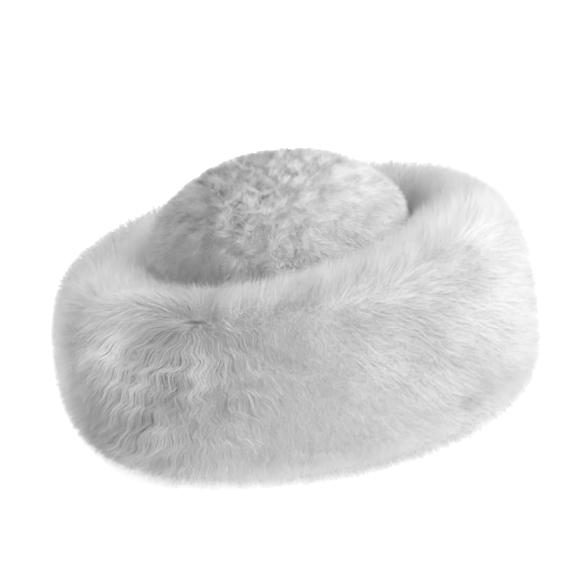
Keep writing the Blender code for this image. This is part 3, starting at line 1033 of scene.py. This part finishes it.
def shaped_off(tree, given, walked, place):
    """Lift the vertices off the skin, and move them by their lock, wave and width."""
    along = named(tree, "along")
    out_of = nearest(tree, given, out(add(tree, "GeometryNodeInputNormal")), place)
    lie = nearest(tree, given, named(tree, "lie", "FLOAT_VECTOR"), place)
    walked = keep(tree, walked, "skin_normal", out_of, "FLOAT_VECTOR")
    across = vector_maths(tree, "NORMALIZE", vector_maths(tree, "CROSS_PRODUCT", out_of, lie))
    taper = maths(tree, "SUBTRACT", 1.05, maths(tree, "POWER", along, 1.6))
    half_width = times(tree, given["Root width"], 0.5, taper)
    width_now = times(tree, named(tree, "side"), half_width)
    flat = times(tree, width_now, maths(tree, "COSINE", named(tree, "twist")))
    edge = times(tree, width_now, maths(tree, "SINE", named(tree, "twist")))
    lift = times(tree, given["Rise"], named(tree, "lift"), maths(tree, "POWER", along, 0.75))
    own_side = maths(tree, "SUBTRACT", named(tree, "lock_chance"), 0.5)
    drift = times(tree, own_side, given["Lock drift"], maths(tree, "POWER", along, 1.4))
    shift = vector_maths(tree, "SCALE", out_of, scale=plus(tree, lift, edge))
    moves = (
        (across, plus(tree, waved(tree, given, along, place), flat, drift)),
        (lie, times(tree, named(tree, "rim"), half_width)),
        (named(tree, "aim", "FLOAT_VECTOR"), maths(tree, "POWER", along, 1.1)),
    )
    for way, far in moves:
        shift = vector_maths(tree, "ADD", shift, vector_maths(tree, "SCALE", way, scale=far))
    return out(add(tree, "GeometryNodeSetPosition", {"Geometry": walked, "Offset": shift}))


def toned(tree, given, hair):
    """Give each hair its lightness: the coat's, painted light and shade included, with a share for its lock
    and one of its own.
    """
    shares = [times(tree, maths(tree, "SUBTRACT", named(tree, name), 0.5), given[amount])
              for name, amount in (("lock_chance", "Lock tone"), ("own_chance", "Own tone"))]
    return keep(tree, hair, "tone", plus(tree, *shares, named(tree, "cloud")))


def build_hair_tree():
    """The node group: skin in, hair out."""
    tree = bpy.data.node_groups.new("grow_hair", "GeometryNodeTree")
    tree.interface.new_socket("Skin", in_out="INPUT", socket_type="NodeSocketGeometry")
    for name, kind, default in HAIR_INPUTS:
        made = tree.interface.new_socket(name, in_out="INPUT", socket_type=kind)
        if default is not None:
            made.default_value = default
    tree.interface.new_socket("Hair", in_out="OUTPUT", socket_type="NodeSocketGeometry")
    given = {s.name: s for s in tree.nodes.new("NodeGroupInput").outputs}
    place = out(add(tree, "GeometryNodeInputPosition"))
    hair, spent = hairs_on_roots(tree, given, place)
    hair = walk_along(tree, given, hair, place)
    hair = toned(tree, given, shaped_off(tree, given, hair, place))
    for name in (*spent, "side", "rim"):
        hair = out(add(tree, "GeometryNodeRemoveAttribute", {"Geometry": hair, "Name": name}))
    hair = out(add(tree, "GeometryNodeSetShadeSmooth", {"Geometry": hair}))
    hair = out(add(tree, "GeometryNodeSetMaterial", {"Geometry": hair, "Material": given["Material"]}))
    tree.links.new(hair, tree.nodes.new("NodeGroupOutput").inputs["Hair"])
    return tree


hair_tree = build_hair_tree()
print("nodes in the hair tree:", len(hair_tree.nodes))

# %% [markdown]
# ## Sectors
# A piece of the finished model may hold only so many faces, so the cuff's coat is grown in
# sectors round the hat, each from the same tree with the same seed. The locks grow in two
# sectors in front, as blades of twelve segments, because a wave needs four or more to a turn.
# The fluff grows all round in seven, as spikes, finer and denser where the picture looks
# straight at it.

# %% Mark the sectors and grow
def mark_sectors(skin, edges):
    """Store on each face which sector it is in, counted from the first edge."""
    sectors = []
    for polygon in skin.data.polygons:
        azimuth = math.degrees(math.atan2((polygon.center.y - CENTRE.y) / HALF_Y,
                                          (polygon.center.x - CENTRE.x) / HALF_X))
        sectors.append(sum((azimuth - edges[0]) % 360 >= (edge - edges[0]) % 360 for edge in edges) - 1)
    made = skin.data.attributes.get("sector") or skin.data.attributes.new("sector", "INT", "FACE")
    made.data.foreach_set("value", sectors)


def grow(name, skin, shape, segments, **values):
    """Run the tree on a skin and return the hair as a plain mesh."""
    holder = link_new(name + "_grower", skin.data)
    values.update(Hair_shape=shape, Segments=segments)
    modifier = holder.modifiers.new("grow_hair", "NODES")
    modifier.node_group = hair_tree
    for item in hair_tree.interface.items_tree:
        key = item.name.replace(" ", "_")
        if key in values:
            modifier[item.identifier] = values[key]
    graph = bpy.context.evaluated_depsgraph_get()
    mesh = bpy.data.meshes.new_from_object(holder.evaluated_get(graph))
    mesh.name = name
    bpy.data.objects.remove(holder)
    return mesh


FLOOR_CLEAR = 0.3 * MM
LOCK_COAT, SPIKE_COAT = 0.55, 1.0    # how much of a hair's shading normal is the coat's


def soften_normals(mesh, is_blade):
    """Turn each hair's shading normals towards the coat's, so that the coat shades as one."""
    count = len(mesh.vertices)
    coat = np.empty(count * 3, dtype=np.float32)
    mesh.attributes["skin_normal"].data.foreach_get("vector", coat)
    own = np.empty(count * 3, dtype=np.float32)
    mesh.vertex_normals.foreach_get("vector", own)
    coat, own = coat.reshape(-1, 3), own.reshape(-1, 3)
    coat_share = SPIKE_COAT
    if is_blade:
        own *= np.where((coat * own).sum(1, keepdims=True) < 0, -1.0, 1.0)
        coat_share = LOCK_COAT * np.clip((coat * own).sum(1, keepdims=True), 0, 1) ** 1.5
    both = coat_share * coat + (1 - coat_share) * own
    both /= np.linalg.norm(both, axis=1, keepdims=True) + 1e-9
    mesh.normals_split_custom_set_from_vertices(both.tolist())
    mesh.attributes.remove(mesh.attributes["skin_normal"])


def hair_map(mesh, segments, is_blade):
    """Give every hair its own cell of a map, with no face over another."""
    loops = np.empty(len(mesh.loops), dtype=np.int32)
    mesh.loops.foreach_get("vertex_index", loops)
    per_hair = 2 * segments + 1 if is_blade else 4
    cells = math.ceil(math.sqrt(len(mesh.vertices) // per_hair))
    hair, corner = loops // per_hair, loops % per_hair
    if is_blade:
        u = np.where(corner == per_hair - 1, 0.5, np.where(corner % 2, 0.9, 0.1))
        v = 0.08 + 0.84 * (corner // 2) / segments
    else:
        position = np.arange(len(loops))
        u = ((position // 3) % 3 + np.array((0.1, 0.9, 0.5))[position % 3]) / 3
        v = np.where(corner == 3, 0.92, 0.08)
    layer = mesh.uv_layers.new(name="OFBake")
    places = np.stack([(hair % cells + u) / cells, (hair // cells + v) / cells], 1)
    layer.data.foreach_set("uv", places.ravel())


def finish_hair(name, mesh, segments, is_blade):
    """Keep the hair off the floor, soften its normals, map it and link it."""
    places = np.empty(len(mesh.vertices) * 3, dtype=np.float32)
    mesh.vertices.foreach_get("co", places)
    places = places.reshape(-1, 3)
    places[:, 2] = np.maximum(places[:, 2], FLOOR_CLEAR)
    mesh.vertices.foreach_set("co", places.ravel())
    hair_map(mesh, segments, is_blade)
    soften_normals(mesh, is_blade)
    made = link_new(name, mesh)
    print(name, "faces:", len(mesh.polygons), "top in mm:", round(float(places[:, 2].max()) / MM, 1))
    return made


LOCK_EDGES = {"cuff_locks_left": -170.0, "cuff_locks_front": -104.0, "": -30.0}   # no locks past the last
FLUFF_SECTORS = (
    # name, first azimuth deg, root spacing mm, root width mm
    ("cuff_fluff_front_left", -143.0, 0.74, 0.34),
    ("cuff_fluff_front", -103.0, 0.68, 0.30),
    ("cuff_fluff_right_front", -63.0, 0.62, 0.27),
    ("cuff_fluff_right", -8.0, 0.64, 0.28),
    ("cuff_fluff_back", 50.0, 0.85, 0.38),
    ("cuff_fluff_left_back", 110.0, 0.85, 0.38),
    ("cuff_fluff_left", 165.0, 0.80, 0.36),
)
LOCK_SEGMENTS = 12
LOCKS = dict(
    Cover="lock_cover", Root_spacing=0.84 * MM, Length=34 * MM, Root_width=0.25 * MM, Twist=0.7,
    Rise=13 * MM, Sparse_rise=0.45, Lock_spacing=1.7 * MM, Lock_drift=3 * MM, Crimp_size=3.3 * MM,
    Crimp_length=15 * MM, Lock_tone=0.45, Seed=5, Material=long_fur)
FLUFF = dict(
    Length=9 * MM, Rise=14 * MM, Lock_spacing=7 * MM, Lock_drift=2 * MM, Crimp_size=0.0,
    Lock_tone=0.04, Own_tone=0.05, Seed=5, Material=airy_fur)
PLUSH = dict(
    Root_spacing=0.78 * MM, Length=6 * MM, Root_width=0.38 * MM, Rise=6 * MM, Lock_spacing=3.5 * MM,
    Lock_drift=3 * MM, Crimp_size=0.0, Lock_tone=0.35, Own_tone=0.45, Seed=8, Material=short_fur)
one_blade, one_spike = blade(LOCK_SEGMENTS), spike()
cuff_hair = []
mark_sectors(cuff_skin, list(LOCK_EDGES.values()))
for sector, name in enumerate(LOCK_EDGES):
    if name:
        locks = grow(name, cuff_skin, one_blade, LOCK_SEGMENTS, Sector=sector, **LOCKS)
        cuff_hair.append(finish_hair(name, locks, LOCK_SEGMENTS, True))
mark_sectors(cuff_skin, [first for _, first, _, _ in FLUFF_SECTORS])
for sector, (name, _, spacing, width) in enumerate(FLUFF_SECTORS):
    fluff = grow(name, cuff_skin, one_spike, 1, Root_spacing=spacing * MM, Root_width=width * MM,
                 Sector=sector, **FLUFF)
    cuff_hair.append(finish_hair(name, fluff, 1, False))
mark_sectors(crown_walk, [-180.0])
crown_plush = finish_hair("crown_plush", grow("crown_plush", crown_walk, one_spike, 1, **PLUSH), 1, False)
for spare in (crown_walk, one_blade, one_spike):
    bpy.data.objects.remove(spare)

# %% [markdown]
# ## Handing the pieces to the frame
# Every piece rides on the hat's one body, and the solid it replaces is hidden.

# %% Ride, replace and count
for piece in (cuff_skin, *cuff_hair):
    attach(piece, "root")
    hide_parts("fur_cuff")
for piece in (crown_skin, crown_hide, crown_plush):
    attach(piece, "root")
    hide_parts("crown")
for name in ("lie", "sector", *SKIN_NUMBERS):
    cuff_skin.data.attributes.remove(cuff_skin.data.attributes[name])
triangles = sum(len(p.vertices) - 2 for o in (cuff_skin, crown_skin, crown_hide, crown_plush, *cuff_hair)
                for p in o.data.polygons)
print("triangles in all:", triangles)
